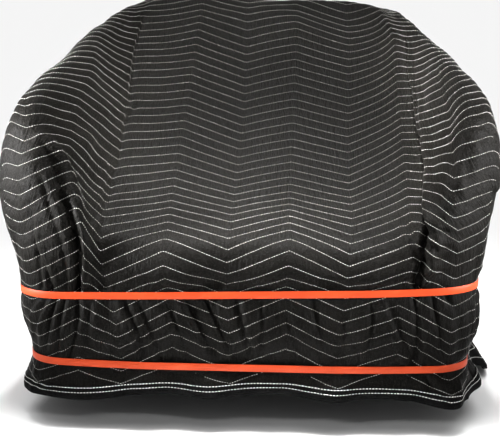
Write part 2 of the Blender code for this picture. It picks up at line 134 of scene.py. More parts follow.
# Folds of the loose cloth: kind, half width, then places across and along the cloth with the height
# there, all in millimetres. A tuck's lip lies on the right of a tuck that runs down the cloth, or on its
# left where the half width is negative. A program worked most places out from points picked in the
# photograph, and the kinds, widths and heights were chosen one by one.
CREASES = (
    # between the slope and the left arm
    (Fold.TUCK, -5, ((-304, 1092, 1), (-281, 1050, 4), (-285, 1003, 5), (-289, 957, 5), (-287, 895, 5),
                     (-284, 821, 5), (-279, 754, 2))),
    (Fold.TUCK, -5, ((-248, 762, 1), (-257, 755, 2), (-269, 730, 5), (-280, 701, 5), (-279, 637, 4),
                     (-277, 585, 3), (-278, 545, 1))),
    (Fold.TUCK, -5, ((-281, 550, 2), (-282, 532, 5), (-280, 494, 5), (-278, 444, 2))),
    (Fold.TUCK, -5, ((-297, 560, 1), (-294, 538, 4), (-290, 473, 4), (-286, 402, 2))),
    (Fold.TUCK, -5, ((-280, 372, 2), (-282, 352, 4), (-285, 330, 1))),
    (Fold.HOLLOW, 16, ((-286, 1060, 3), (-287, 900, 5), (-282, 640, 5), (-282, 420, 3))),
    # the left arm's long fold, down to the upper band
    (Fold.RIDGE, 9, ((-512, 546, 1), (-492, 534, 6), (-458, 514, 10), (-418, 486, 12), (-378, 448, 12),
                     (-350, 411, 11), (-325, 368, 9), (-305, 330, 7), (-300, 290, 5), (-302, 240, 2))),
    (Fold.TUCK, 5, ((-486, 524, 3), (-454, 498, 8), (-420, 466, 11), (-389, 429, 12), (-368, 401, 13),
                    (-345, 377, 14), (-334, 352, 15), (-326, 332, 16), (-320, 310, 17),
                    (-317, 288, 17), (-320, 257, 16), (-322, 228, 13), (-324, 204, 9))),
    (Fold.TUCK, 5, ((-452, 462, 1), (-424, 434, 3), (-396, 400, 4), (-370, 366, 4), (-352, 322, 3),
                    (-346, 280, 3), (-346, 228, 3))),
    (Fold.TUCK, 5, ((-410, 332, 1), (-399, 304, 3), (-383, 264, 6), (-375, 228, 6))),
    (Fold.TUCK, 5, ((-440, 403, 1), (-416, 362, 2), (-400, 300, 4), (-396, 236, 4))),
    (Fold.HOLLOW, 8, ((-524, 489, 1), (-486, 416, 2), (-462, 330, 2), (-450, 250, 2))),
    # the fan of pleats under the upper band at the left
    (Fold.TUCK, 5, ((-374, 229, 5), (-394, 194, 6), (-420, 156, 3), (-436, 128, 1))),
    (Fold.TUCK, 5, ((-360, 222, 5), (-376, 184, 6), (-388, 132, 4), (-398, 96, 2))),
    (Fold.TUCK, 5, ((-346, 216, 5), (-357, 178, 6), (-367, 113, 4), (-374, 78, 2))),
    (Fold.TUCK, 5, ((-393, 235, 4), (-415, 210, 5), (-440, 182, 3))),
    (Fold.RIDGE, 7, ((-384, 204, 4), (-404, 160, 5), (-414, 110, 3))),
    (Fold.TUCK, 6, ((-322, 226, 8), (-326, 197, 9), (-326, 161, 8), (-332, 131, 6), (-344, 98, 5),
                    (-352, 70, 3))),
    # pleats between the bands
    (Fold.TUCK, 5, ((-269, 214, 5), (-268, 176, 6), (-268, 130, 6), (-264, 78, 4))),
    (Fold.TUCK, -5, ((-258, 212, 4), (-259, 151, 6), (-256, 83, 4))),
    (Fold.RIDGE, 7, ((-292, 206, 4), (-294, 150, 5), (-288, 84, 2))),
    (Fold.TUCK, -5, ((-238, 206, 5), (-226, 172, 8), (-213, 138, 6), (-203, 71, 4))),
    (Fold.TUCK, -5, ((-212, 203, 5), (-198, 160, 8), (-186, 128, 6), (-167, 63, 4))),
    (Fold.TUCK, -5, ((-170, 200, 2), (-150, 160, 5), (-128, 110, 4), (-116, 72, 2))),
    (Fold.TUCK, -5, ((-126, 200, 5), (-110, 166, 8), (-92, 132, 8), (-66, 80, 5))),
    (Fold.TUCK, -5, ((-84, 200, 5), (-66, 160, 8), (-49, 126, 6), (-26, 76, 5))),
    (Fold.TUCK, 5, ((-20, 206, 6), (-14, 174, 9), (-8, 142, 8), (8, 82, 5))),
    (Fold.TUCK, 5, ((22, 204, 4), (28, 160, 6), (28, 130, 5), (23, 85, 4))),
    (Fold.HOLLOW, 14, ((60, 196, 2), (74, 140, 6), (92, 88, 4))),
    (Fold.TUCK, -5, ((120, 200, 2), (132, 150, 5), (150, 92, 2))),
    (Fold.HOLLOW, 13, ((182, 192, 4), (186, 130, 6), (176, 84, 4))),
    (Fold.TUCK, -5, ((233, 206, 4), (238, 160, 6), (228, 98, 4))),
    (Fold.TUCK, -5, ((265, 210, 5), (276, 166, 8), (288, 118, 8), (314, 76, 5))),
    (Fold.TUCK, 5, ((322, 218, 8), (323, 145, 9), (322, 84, 5))),
    (Fold.TUCK, -5, ((333, 216, 5), (333, 168, 6), (334, 130, 2))),
    (Fold.TUCK, -5, ((350, 222, 4), (367, 159, 6), (374, 102, 4))),
    (Fold.TUCK, -5, ((365, 239, 5), (383, 219, 6), (400, 200, 2))),
    (Fold.HOLLOW, 11, ((404, 190, 4), (412, 140, 5), (408, 92, 2))),
    # pleats under the lower band
    (Fold.TUCK, 5, ((338, 56, 5), (358, 34, 5), (380, 12, 3))),
    (Fold.TUCK, 5, ((367, 64, 5), (386, 46, 5), (402, 30, 3))),
    (Fold.TUCK, 5, ((-366, 54, 5), (-397, 34, 5), (-432, 11, 3))),
    (Fold.TUCK, 5, ((-382, 60, 4), (-407, 42, 4), (-448, 24, 3))),
    # between the slope and the right arm
    (Fold.TUCK, 6, ((404, 1000, 0), (388, 951, 8), (371, 890, 16), (365, 828, 18),
                    (367, 767, 16), (357, 713, 14), (353, 652, 13), (365, 608, 15), (365, 555, 17),
                    (363, 506, 17), (352, 431, 18), (341, 370, 18), (331, 337, 17), (326, 307, 18),
                    (331, 292, 18), (326, 270, 17), (323, 240, 15), (322, 214, 8))),
    (Fold.RIDGE, 11, ((398, 830, 2), (396, 740, 5), (384, 660, 6), (392, 590, 9), (388, 500, 11),
                      (376, 430, 12), (362, 370, 11), (352, 300, 9), (346, 240, 4))),
    (Fold.TUCK, 5, ((333, 338, 8), (356, 350, 7), (392, 356, 4), (424, 350, 1))),
    (Fold.TUCK, 5, ((331, 321, 7), (356, 316, 6), (392, 322, 1))),
    (Fold.TUCK, 5, ((337, 290, 6), (366, 303, 5), (398, 308, 1))),
    (Fold.TUCK, 5, ((333, 260, 6), (360, 266, 5), (388, 278, 1))),
    (Fold.TUCK, -5, ((372, 620, 4), (398, 604, 4), (430, 590, 1))),
    (Fold.HOLLOW, 9, ((484, 520, 2), (470, 470, 4), (456, 420, 3))),
    (Fold.HOLLOW, 9, ((532, 530, 2), (506, 480, 4), (484, 420, 3), (468, 340, 2))),
    (Fold.TUCK, 5, ((556, 580, 2), (578, 566, 5), (604, 552, 5), (640, 540, 3))),
    (Fold.TUCK, 5, ((540, 560, 2), (560, 548, 4), (590, 536, 3))),
    (Fold.TUCK, -6, ((299, 372, 3), (306, 328, 5), (314, 289, 4), (312, 240, 2))),
    # folds at the right end, over the bands
    (Fold.HOLLOW, 10, ((452, 330, 3), (446, 270, 4), (442, 214, 3))),
    (Fold.TUCK, 5, ((474, 262, 3), (462, 214, 5), (458, 150, 4), (456, 90, 3))),
)


class Side(Enum):
    """The two side walls, with the sign of their X."""

    LEFT = -1
    RIGHT = 1


def srgb(code: str) -> tuple[float, float, float, float]:
    """Turn an sRGB hex colour to linear.

    Args:
        code: Six hex digits.

    Returns:
        Linear red, green, blue and alpha.
    """
    values = [int(code[k:k + 2], 16) / 255 for k in (0, 2, 4)]
    linear = [v / 12.92 if v <= 0.04045 else ((v + 0.055) / 1.055) ** 2.4 for v in values]
    return (*linear, 1.0)


def add_node(tree: bpy.types.NodeTree, kind: str, settings: dict | None = None,
             inputs: dict | None = None, stops: tuple[tuple[float, str], ...] = ()) -> bpy.types.Node:
    """Add a shader node with its settings and inputs.

    Args:
        tree: The node tree that gets the node.
        kind: The node's type name.
        settings: Attributes of the node.
        inputs: Socket values, or output sockets that are linked to them.
        stops: Place and hex colour of each stop, where the node has a colour ramp.

    Returns:
        The new node.
    """
    node = tree.nodes.new(kind)
    for name, value in (settings or {}).items():
        setattr(node, name, value)
    if stops:
        elements = node.color_ramp.elements
        while len(elements) < len(stops):
            elements.new(0.5)
        for element, (place, code) in zip(elements, stops):
            element.position = place
            element.color = srgb(code)
    for name, value in (inputs or {}).items():
        if isinstance(value, bpy.types.NodeSocket):
            tree.links.new(value, node.inputs[name])
        else:
            node.inputs[name].default_value = value
    return node


def new_material(name: str) -> tuple[bpy.types.Material, bpy.types.NodeTree, bpy.types.Node]:
    """Make an empty material.

    Args:
        name: Its name.

    Returns:
        The material, its node tree and its shader.
    """
    material = bpy.data.materials.new(name)
    material.use_nodes = True
    return material, material.node_tree, material.node_tree.nodes["Principled BSDF"]


def smooth_path(knots: np.ndarray, steps: list[int]) -> np.ndarray:
    """Find points on smooth curves through rows of knots.

    Args:
        knots: Knots along the first axis, coordinates along the last one.
        steps: How many steps each interval gets.

    Returns:
        The points, along the first axis.
    """
    lengths = np.linalg.norm(np.diff(knots, axis=0), axis=-1, keepdims=True)
    slopes = np.diff(knots, axis=0) / lengths
    tangents = np.empty_like(knots)
    tangents[0], tangents[-1] = slopes[0], slopes[-1]
    before, after = lengths[:-1], lengths[1:]
    tangents[1:-1] = (slopes[1:] * before + slopes[:-1] * after) / (before + after)
    spans = [knots[:1]]
    for k, count in enumerate(steps):
        t = (np.arange(1, count + 1) / count).reshape((count,) + (1,) * (knots.ndim - 1))
        blend = t * t * (3 - 2 * t)
        ease = t * (1 - t) ** 2 * tangents[k] + t * t * (t - 1) * tangents[k + 1]
        spans.append(knots[k] * (1 - blend) + knots[k + 1] * blend + lengths[k] * ease)
    return np.concatenate(spans)


def smooth_step(low: float, high: float, value: np.ndarray) -> np.ndarray:
    """Rise smoothly from 0 at low to 1 at high.

    Args:
        low: Where the rise starts.
        high: Where it ends.
        value: The numbers to map.

    Returns:
        Values between 0 and 1.
    """
    t = np.clip((value - low) / (high - low), 0.0, 1.0)
    return t * t * (3 - 2 * t)


def run_length(points: np.ndarray) -> np.ndarray:
    """Measure the way along rows of points.

    Args:
        points: Points along the first axis, coordinates along the last one.

    Returns:
        The length walked to each point.
    """
    steps = np.linalg.norm(np.diff(points, axis=0), axis=-1)
    return np.concatenate((np.zeros((1,) + steps.shape[1:]), np.cumsum(steps, axis=0)))


@dataclass
class Cut:
    """How the pad is cut and quilted."""

    width: float = 2.03
    length: float = 1.829
    channels: int = 70
    zigzag_length: float = 0.230
    zigzag_height: float = 0.031
    loft: float = 0.0013
    thickness: float = 0.005
    binding_width: float = 0.026

    @property
    def pitch(self) -> float:
        """Return the distance between two quilting lines."""
        return self.length / self.channels

    def corner_rows(self, along: np.ndarray, column: int) -> np.ndarray:
        """Read one column of the corner table, in metres, at places along the cloth.

        Args:
            along: The places along the cloth.
            column: 1 for the corners' distances, 2 for the creep.

        Returns:
            Nine values for each place, on a new last axis.
        """
        table = np.array([row[column] for row in CORNERS]) / 1000
        stations = np.array([row[0] for row in CORNERS]) / 1000
        return np.stack([np.interp(along, stations, table[:, k]) for k in range(table.shape[1])],
                        axis=-1)

    def phase(self, across: np.ndarray, along: np.ndarray) -> np.ndarray:
        """Count the zigzag's corners from the left one to places on the cloth.

        Args:
            across: Places across the cloth.
            along: Places along it.

        Returns:
            The count at each place, with a share of the way to the next corner.
        """
        corners = self.corner_rows(along, 1)
        spacing = self.zigzag_length / 2
        phase = (across - corners[..., 0]) / spacing
        for k in range(corners.shape[-1] - 1):
            step = corners[..., k + 1] - corners[..., k]
            inside = across > corners[..., k]
            phase = np.where(inside, k + (across - corners[..., k]) / step, phase)
        last = corners[..., -1]
        return np.where(across > last, corners.shape[-1] - 1 + (across - last) / spacing, phase)

    def zigzag(self, across: np.ndarray, along: np.ndarray) -> np.ndarray:
        """Return how far the quilting lines are pushed along the cloth, at places on it."""
        turn = self.phase(across, along) % 2.0
        return self.zigzag_height * np.minimum(turn, 2.0 - turn)

    def creep(self, across: np.ndarray, along: np.ndarray) -> np.ndarray:
        """Find how far the cloth has crept from a plain lay.

        Args:
            across: Places across the cloth.
            along: Places along it.

        Returns:
            The creep at each place.
        """
        values = self.corner_rows(along, 2)
        count = values.shape[-1]
        phase = np.clip(self.phase(across, along), 0.0, count - 1.0)
        low = np.minimum(phase.astype(int), count - 2)
        share = phase - low
        first = np.take_along_axis(values, low[..., None], axis=-1)[..., 0]
        second = np.take_along_axis(values, low[..., None] + 1, axis=-1)[..., 0]
        return first * (1 - share) + second * share


@dataclass
class Patch:
    """A grid of cloth: points, each point's place on the flat pad, and its quilting line's number."""

    points: np.ndarray
    across: np.ndarray
    along: np.ndarray
    line: np.ndarray


@dataclass
class Form:
    """The pad's draped form, worked out from the table of sections."""

    cut: Cut
    band_land: float = 0.018
    seam_swell: float = 0.002
    hem_fade: tuple[float, float] = (0.026, 0.078)
    lower_band_level: float = 0.168
    upper_band_level: float = 0.314
    lower_band_tilt: float = -0.004
    upper_band_tilt: float = 0.024
    shoulder_drop: float = 0.018
    shoulder_reach: float = 0.17
    rows_per_channel: int = 4
    top_channels: int = 46
    wall_channels: int = 16
    back_plan: tuple[tuple[int, int], ...] = ((8, 4), (16, 4))
    column_plan: tuple[int, ...] = (12, 36, 60, 60, 36, 12)
    sample_step: float = 0.004

    def stations(self) -> np.ndarray:
        """Place the sections, with a land at each band and a seam at each hem.

        Returns:
            Seven knots for each section.
        """
        stations = []
        for name, middle, left_crease, right_crease, crease, ridge, edge in SECTIONS:
            knots = np.array((
                (-edge[0], edge[1], edge[2]), (-ridge[0], ridge[1], ridge[2]),
                (-left_crease, *crease), (0, *middle), (right_crease, *crease),
                (ridge[0], ridge[1], ridge[2]), (edge[0], edge[1], edge[2]))) / 1000
            left_out, left_up, right_out, right_up = np.array(
                SIDE_SHIFTS.get(name, (0, 0, 0, 0))) / 1000
            knots[:2] += (-left_out, 0.0, left_up)
            knots[5:] += (right_out, 0.0, right_up)
            tilts = {"lower band": self.lower_band_tilt, "upper band": self.upper_band_tilt}
            for band, tilt in tilts.items():
                if band in name:
                    knots[:, 2] += tilt * knots[:, 0]
            if name in ("crown", "back top", "back turn"):
                share = np.clip(knots[:, 0] / self.shoulder_reach, 0.0, 1.0)
                knots[:, 2] -= self.shoulder_drop * share
            at_back = name.startswith("back")
            if name.endswith("band"):
                half = np.array((0.0, 0.0, self.band_land / 2))
                stations += [knots + half, knots - half] if at_back else [knots - half, knots + half]
            elif name.endswith("hem"):
                out = self.seam_swell if at_back else -self.seam_swell
                seam = knots + np.array((0.0, out, self.cut.binding_width))
                stations += [seam, knots] if at_back else [knots, seam]
            else:
                stations.append(knots)
        return np.array(stations)

    def strip(self) -> Patch:
        """Build the grid over the front, the seat, the arms and the back.

        Returns:
            The patch, rows along the cloth on the first axis, columns across it on the second.
        """
        knots = self.stations()
        spans = np.linalg.norm(np.diff(knots, axis=0), axis=-1).max(axis=1)
        lines = smooth_path(knots, [max(1, math.ceil(span / self.sample_step)) for span in spans])
        raw = smooth_path(lines.transpose(1, 0, 2), list(self.column_plan)).transpose(1, 0, 2)
        walked = run_length(raw)
        place = self.row_places()[:, None] + np.zeros((1, raw.shape[1]))
        turn = self.top_channels * self.cut.pitch
        across = self.places_across(self.sample(raw, walked, place, turn))
        length = self.cut.length
        straight, full = self.hem_fade
        fade = smooth_step(straight, full, place) * smooth_step(0.0, full, length - place)
        zigzag = self.cut.zigzag(across, place)
        along = place + zigzag * fade
        points = self.sample(raw, walked, along - self.cut.creep(across, place) * fade, turn)
        return Patch(points, across, along, (along - zigzag) / self.cut.pitch)

    def row_places(self) -> np.ndarray:
        """Place the grid's rows, some to each quilted channel.

        Returns:
            The rows' places along the cloth.
        """
        pitch = self.cut.pitch
        rows = [k / self.rows_per_channel for k in range(self.top_channels * self.rows_per_channel)]
        channel = self.top_channels
        for channels, count in self.back_plan:
            rows += [channel + k / count for k in range(channels * count)]
            channel += channels
        return np.array(rows + [channel]) * pitch

    def sample(self, raw: np.ndarray, walked: np.ndarray, along: np.ndarray,
               turn: float) -> np.ndarray:
        """Read the points at given places along each column.

        Args:
            raw: The fine grid of points.
            walked: The length along each column to each point.
            along: The places along the cloth that are wanted.
            turn: The place from which the back is stretched or slackened to end at its hem.

        Returns:
            The points at those places.
        """
        points = np.empty(along.shape + (3,))
        for column in range(raw.shape[1]):
            place, way = along[:, column], walked[:, column]
            stretch = (way[-1] - turn) / (self.cut.length - turn)
            place = np.where(place > turn, turn + (place - turn) * stretch, place)
            for axis in range(3):
                points[:, column, axis] = np.interp(place, way, raw[:, column, axis])
        return points

    def places_across(self, points: np.ndarray) -> np.ndarray:
        """Return the distance of each point from the middle column, measured on the cloth."""
        walked = run_length(points.transpose(1, 0, 2)).T
        middle = sum(self.column_plan) // 2
        return walked - walked[:, middle:middle + 1]


def neighbour_average(points: np.ndarray, pairs: np.ndarray) -> np.ndarray:
    """Average each point's neighbours.

    Args:
        points: All points.
        pairs: The numbers of the two ends of each mesh edge.

    Returns:
        The average of the neighbours of each point.
    """
    total = np.zeros_like(points)
    count = np.zeros(len(points))
    for a, b in ((0, 1), (1, 0)):
        for axis in range(3):
            total[:, axis] += np.bincount(pairs[:, a], points[pairs[:, b], axis], len(points))
        count += np.bincount(pairs[:, a], minlength=len(points))
    return total / count[:, None]


def point_normals(points: np.ndarray, quads: np.ndarray) -> np.ndarray:
    """Find the unit normal at each point of a surface.

    Args:
        points: All points.
        quads: The four corners of each face.

    Returns:
        One normal for each point.
    """
    a, b, c, d = (points[quads[:, k]] for k in range(4))
    face = np.cross(c - a, d - b)
    total = np.zeros_like(points)
    for k in range(4):
        for axis in range(3):
            total[:, axis] += np.bincount(quads[:, k], face[:, axis], len(points))
    return total / np.maximum(np.linalg.norm(total, axis=1), 1e-12)[:, None]


@dataclass
class Wall:
    """A side wall: its points' numbers in the sheet, and their places on the flat pad."""

    side: Side
    numbers: np.ndarray
    across: np.ndarray
    along: np.ndarray
    line: np.ndarray
    flap: np.ndarray
    depth: np.ndarray


@dataclass
class Drape:
    """The whole sheet as one mesh: strip and walls, welded, smoothed and folded."""

    cut: Cut
    form: Form
    side_bow: tuple[tuple[float, float], ...] = ((0.10, 0.026), (0.168, 0.016), (0.240, 0.030),
                                                 (0.314, 0.018))
    bows_above: tuple[float, float] = (0.012, 0.003)
    bend_level: float = 0.33
    corner_rounds: int = 60
    corner_reach: int = 9
    corner_fade: float = 0.11
    fold_slope: float = 0.80
    fold_steps: tuple[float, float] = (0.007, 0.004)
    flares: tuple[tuple[int, float, float, float, float], ...] = (
        (1, 0.46, 0.12, 0.056, 0.056),
        (-1, 0.55, 0.20, 0.020, 0.025),
        (1, 0.14, 0.08, 0.014, 0.004),
        (-1, 0.12, 0.08, 0.010, 0.000),
    )
    hem_rows: int = 14
    hem_wave: tuple[float, float] = (0.0045, 0.118)
    hem_dip: tuple[float, float] = (0.0050, 0.236)
    puff_power: float = 0.55
    tight_edge: tuple[float, float] = (0.020, 0.045)
    press_reach: tuple[float, float] = (0.009, 0.026)
    gather_seed: int = 7
    gather_span: float = 0.98
    gather_rows: tuple[tuple[float, float, float, int, float, float], ...] = (
        (0.198, -0.130, -0.040, 44, 0.0010, 0.0028),
        (0.206, 0.020, 0.060, 34, 0.0008, 0.0024),
        (0.062, 0.020, 0.070, 34, 0.0010, 0.0028),
        (0.052, -0.040, -0.015, 40, 0.0010, 0.0030),
    )
    swell_waves: int = 16
    swell_sizes: tuple[float, float] = (0.0004, 0.0022)
    points: np.ndarray = field(init=False)
    quads: np.ndarray = field(init=False)
    normals: np.ndarray = field(init=False)
    across: np.ndarray = field(init=False)
    along: np.ndarray = field(init=False)
    line: np.ndarray = field(init=False)
    strip_numbers: np.ndarray = field(init=False)
    walls: list[Wall] = field(init=False)
    rows: int = field(init=False)
    columns: int = field(init=False)
    lip: int = field(init=False)
    turn: int = field(init=False)

    def __post_init__(self) -> None:
        """Build the sheet."""
        strip = self.form.strip()
        self.rows, self.columns = strip.points.shape[:2]
        self.lip = self.form.wall_channels * self.form.rows_per_channel
        self.turn = self.rows - 1 - self.lip
        self.strip_numbers = np.arange(self.rows * self.columns).reshape(self.rows, self.columns)
        parts = [strip.points.reshape(-1, 3)]
        across = [strip.across.ravel()]
        along = [strip.along.ravel()]
        line = [strip.line.ravel()]
        self.walls = []
        count = self.strip_numbers.size
        for side in Side:
            wall_points, wall = self.make_wall(strip, side, count)
            count += len(wall_points)
            parts.append(wall_points)
            across.append(wall.across[:-1, 1:-1].ravel())
            along.append(wall.along[:-1, 1:-1].ravel())
            line.append(wall.line[:-1, 1:-1].ravel())
            self.walls.append(wall)
        self.points = np.concatenate(parts)
        self.across = np.concatenate(across)
        self.along = np.concatenate(along)
        self.line = np.concatenate(line)
        self.quads = self.make_quads()
        self.round_corners()
        self.wave_hem()
        self.fold_and_quilt()

    def make_wall(self, strip: Patch, side: Side, first: int) -> tuple[np.ndarray, Wall]:
        """Hang a wall of cloth between the front edge, the arm's edge and the back edge.

        Args:
            strip: The strip that the wall is welded to.
            side: Which side.
            first: The number of the wall's first own point.

        Returns:
            The wall's own points and its places on the pad.
        """
        column = 0 if side is Side.LEFT else self.columns - 1
        edge = strip.points[:, column]
        front, back = edge[:self.lip + 1], edge[:self.turn - 1:-1]
        top = edge[self.lip:self.turn + 1]
        run = run_length(top)
        run = (run / run[-1])[None, :, None]
        rows = front[:, None] * (1 - run) + back[:, None] * run
        chord = rows[-1]
        level = rows[..., 2]
        bend = self.bend_level
        rise = np.clip((level - bend) / (chord[None, :, 2] - bend), 0.0, 1.0)
        points = rows + rise[..., None] * (top - chord)[None]
        arch = 4 * run[..., 0] * (1 - run[..., 0])
        levels = [item[0] for item in self.side_bow]
        bows = [item[1] for item in self.side_bow]
        above = self.bows_above[side is Side.RIGHT]
        bow = np.interp(level, levels, bows) * (1 - rise) + above * np.sin(np.pi * rise)
        points[..., 0] += side.value * arch * bow
        points += self.flare_shift(points, run[0, :, 0], side)
        walked = run_length(points.transpose(1, 0, 2)).T
        hung = run_length(points[::-1])[::-1]
        front_way, back_way = walked, walked[:, -1:] - walked
        fold_front = front_way - self.fold_slope * hung
        fold_back = back_way - self.fold_slope * hung
        flap = np.minimum(fold_front, fold_back)
        edge_across = np.abs(strip.across[:, column])
        over = edge_across[self.lip:self.turn + 1][None] + hung
        ahead = edge_across[:self.lip + 1][:, None] + front_way
        behind = edge_across[:self.turn - 1:-1][:, None] + back_way
        in_front = fold_front <= fold_back
        across = np.where(flap > 0, over, np.where(in_front, ahead, behind)) * side.value
        edge_along = strip.along[:, column]
        along = np.where(flap > 0, edge_along[self.lip:self.turn + 1][None],
                         np.where(in_front, edge_along[:self.lip + 1][:, None],
                                  edge_along[:self.turn - 1:-1][:, None]))
        line = (along - self.cut.zigzag(across, along)) / self.cut.pitch
        numbers = np.empty(level.shape, dtype=int)
        numbers[:, 0] = self.strip_numbers[:self.lip + 1, column]
        numbers[:, -1] = self.strip_numbers[:self.turn - 1:-1, column]
        numbers[-1] = self.strip_numbers[self.lip:self.turn + 1, column]
        inner = numbers[:-1, 1:-1]
        numbers[:-1, 1:-1] = first + np.arange(inner.size).reshape(inner.shape)
        own = points[:-1, 1:-1].reshape(-1, 3)
        return own, Wall(side, numbers, across, along, line, flap, hung)

    def flare_shift(self, points: np.ndarray, run: np.ndarray, side: Side) -> np.ndarray:
        """Find how the hem of a wall swings out and hangs lower at its flares.

        Args:
            points: The wall's points.
            run: The share of the way along the wall at each column.
            side: Which side the wall is on.

        Returns:
            The shift of each point.
        """
        height = points[..., 2] - points[:1, :, 2]
        share = 1 - smooth_step(0.006, 0.040, height)
        shift = np.zeros_like(points)
        for flare_side, centre, spread, out, drop in self.flares:
            if flare_side == side.value:
                hump = np.exp(-((run - centre) / spread) ** 2) * share
                shift[..., 0] += side.value * out * hump
                shift[..., 2] -= drop * hump
        return shift

    def grids(self) -> list[tuple[np.ndarray, bool]]:
        """Return the point numbers of the strip and both walls, and whether each is turned over."""
        walls = [(wall.numbers, wall.side is Side.LEFT) for wall in self.walls]
        return [(self.strip_numbers, False)] + walls

    def make_quads(self) -> np.ndarray:
        """Cover the strip and both walls with faces.

        Returns:
            The four corners of each face, pointing outward.
        """
        quads = []
        for numbers, flipped in self.grids():
            cells = np.stack((numbers[:-1, :-1], numbers[:-1, 1:], numbers[1:, 1:],
                              numbers[1:, :-1]), axis=-1).reshape(-1, 4)
            quads.append(cells[:, ::-1] if flipped else cells)
        return np.concatenate(quads)

    def ring(self, row: int) -> np.ndarray:
        """Return the point numbers around the pad at one level, from the left front edge."""
        left, right = self.walls
        return np.concatenate((self.strip_numbers[row], right.numbers[row, 1:-1],
                               self.strip_numbers[self.rows - 1 - row, ::-1],
                               left.numbers[row, -2:0:-1]))

    def edge_pairs(self) -> np.ndarray:
        """Return each mesh edge once, as the numbers of its two ends."""
        ends = np.concatenate([self.quads[:, (k, (k + 1) % 4)] for k in range(4)])
        return np.unique(np.sort(ends, axis=1), axis=0)

    def round_corners(self) -> None:
        """Soften the upright corners and the arms' edges, where the strip meets the walls."""
        pairs = self.edge_pairs()
        near = np.zeros(len(self.points))
        for wall in self.walls:
            border = np.concatenate((wall.numbers[:, 0], wall.numbers[-1], wall.numbers[:, -1]))
            near[border] = 1.0
        weight = near.copy()
        for _ in range(self.corner_reach):
            spread = np.zeros_like(weight)
            np.maximum.at(spread, pairs[:, 0], weight[pairs[:, 1]])
            np.maximum.at(spread, pairs[:, 1], weight[pairs[:, 0]])
            weight = np.maximum(weight, spread - self.corner_fade)
        weight = np.clip(weight, 0.0, 1.0)[:, None]
        hem = self.ring(0)
        weight[hem] = 0.0
        for _ in range(self.corner_rounds):
            self.points += 0.5 * weight * (neighbour_average(self.points, pairs) - self.points)

    def wave_hem(self) -> None:
        """Wave the hem gently, out and in, and up and down."""
        hem = self.points[self.ring(0)]
        walked = run_length(hem)
        centre = hem.mean(axis=0)
        for row in range(self.hem_rows):
            numbers = self.ring(row)
            share = 1 - row / self.hem_rows
            outward = (self.points[numbers] - centre) * (1, 1, 0)
            outward /= np.linalg.norm(outward, axis=1)[:, None]
            phase = 2 * math.pi * walked
            size, length = self.hem_wave
            swell = np.sin(phase / length) + 0.5 * np.sin(phase / (1.7 * length) + 1.3)
            self.points[numbers] += outward * (share * size * swell)[:, None]
            dip, dip_length = self.hem_dip
            self.points[numbers, 2] += share * dip * np.sin(phase / dip_length + 0.6)

    def fold_and_quilt(self) -> None:
        """Raise the folded-over layers, the creases and the quilted channels."""
        normals = point_normals(self.points, self.quads)
        height = np.zeros(len(self.points))
        for wall in self.walls:
            step = self.fold_steps[wall.side is Side.RIGHT] * smooth_step(0.0, 0.012, wall.flap)
            step *= smooth_step(0.02, 0.09, wall.depth)
            height[wall.numbers[:-1, 1:-1]] += step[:-1, 1:-1]
        height += self.crease_heights()
        height = np.where(height > 0, height * (1 - self.pressed()), height)
        self.points += normals * height[:, None]
        normals = point_normals(self.points, self.quads)
        puff = np.abs(np.sin(np.pi * self.line)) ** self.puff_power
        loose = smooth_step(*self.tight_edge, self.along)
        loose *= smooth_step(*self.tight_edge, self.cut.length - self.along)
        loose *= smooth_step(*self.tight_edge, 0.5 * self.cut.width - np.abs(self.across))
        self.points += normals * (self.cut.loft * puff * loose)[:, None]
        self.points -= np.array(SEAT_BACK_TOP)
        self.normals = point_normals(self.points, self.quads)

    def pressed(self) -> np.ndarray:
        """Find how far the bands press the cloth flat.

        Returns:
            A share from 0 to 1 for each point.
        """
        form = self.form
        total = np.zeros(len(self.points))
        for level, tilt in ((form.lower_band_level, form.lower_band_tilt),
                            (form.upper_band_level, form.upper_band_tilt)):
            away = np.abs(self.points[:, 2] - level - tilt * self.points[:, 0])
            total = np.maximum(total, 1 - smooth_step(*self.press_reach, away))
        return total

    def crease_heights(self) -> np.ndarray:
        """Add up the folds and the cloth's gentle swell.

        Returns:
            The height at each point.
        """
        place = np.stack((self.across, self.along), axis=1)
        mirrored = np.stack((self.across, self.cut.length - self.along), axis=1)
        height = np.zeros(len(self.points))
        for fold, half_width, knots in CREASES:
            height += fold_heights(place, fold, half_width / 1000, np.array(knots) / 1000)
        for fold, half_width, knots in self.gathers():
            height += fold_heights(place, fold, half_width, knots)
            height += fold_heights(mirrored, fold, half_width, knots)
        return height + self.swell()

    def gathers(self) -> list[tuple[Fold, float, np.ndarray]]:
        """Strew small folds that start at the bands, with a fixed seed.

        Returns:
            The kind, the half width and the knots of each fold.
        """
        source = random.Random(self.gather_seed)
        gathers = []
        for level, shortest, longest, count, low, high in self.gather_rows:
            for number in range(count):
                place = number + source.uniform(0.1, 0.9)
                across = -self.gather_span + 2 * self.gather_span * place / count
                reach = source.uniform(shortest, longest)
                lean = source.uniform(-0.30, 0.35) * reach
                tall = source.uniform(low, high)
                knots = np.array(((across, level, tall),
                                  (across + 0.4 * lean, level + 0.5 * reach, tall),
                                  (across + lean, level + reach, 0.0)))
                fold = Fold.TUCK if source.random() < 0.6 else Fold.RIDGE
                half_width = source.choice((-1, 1)) * source.uniform(0.0045, 0.0065)
                gathers.append((fold, half_width, knots))
        return gathers

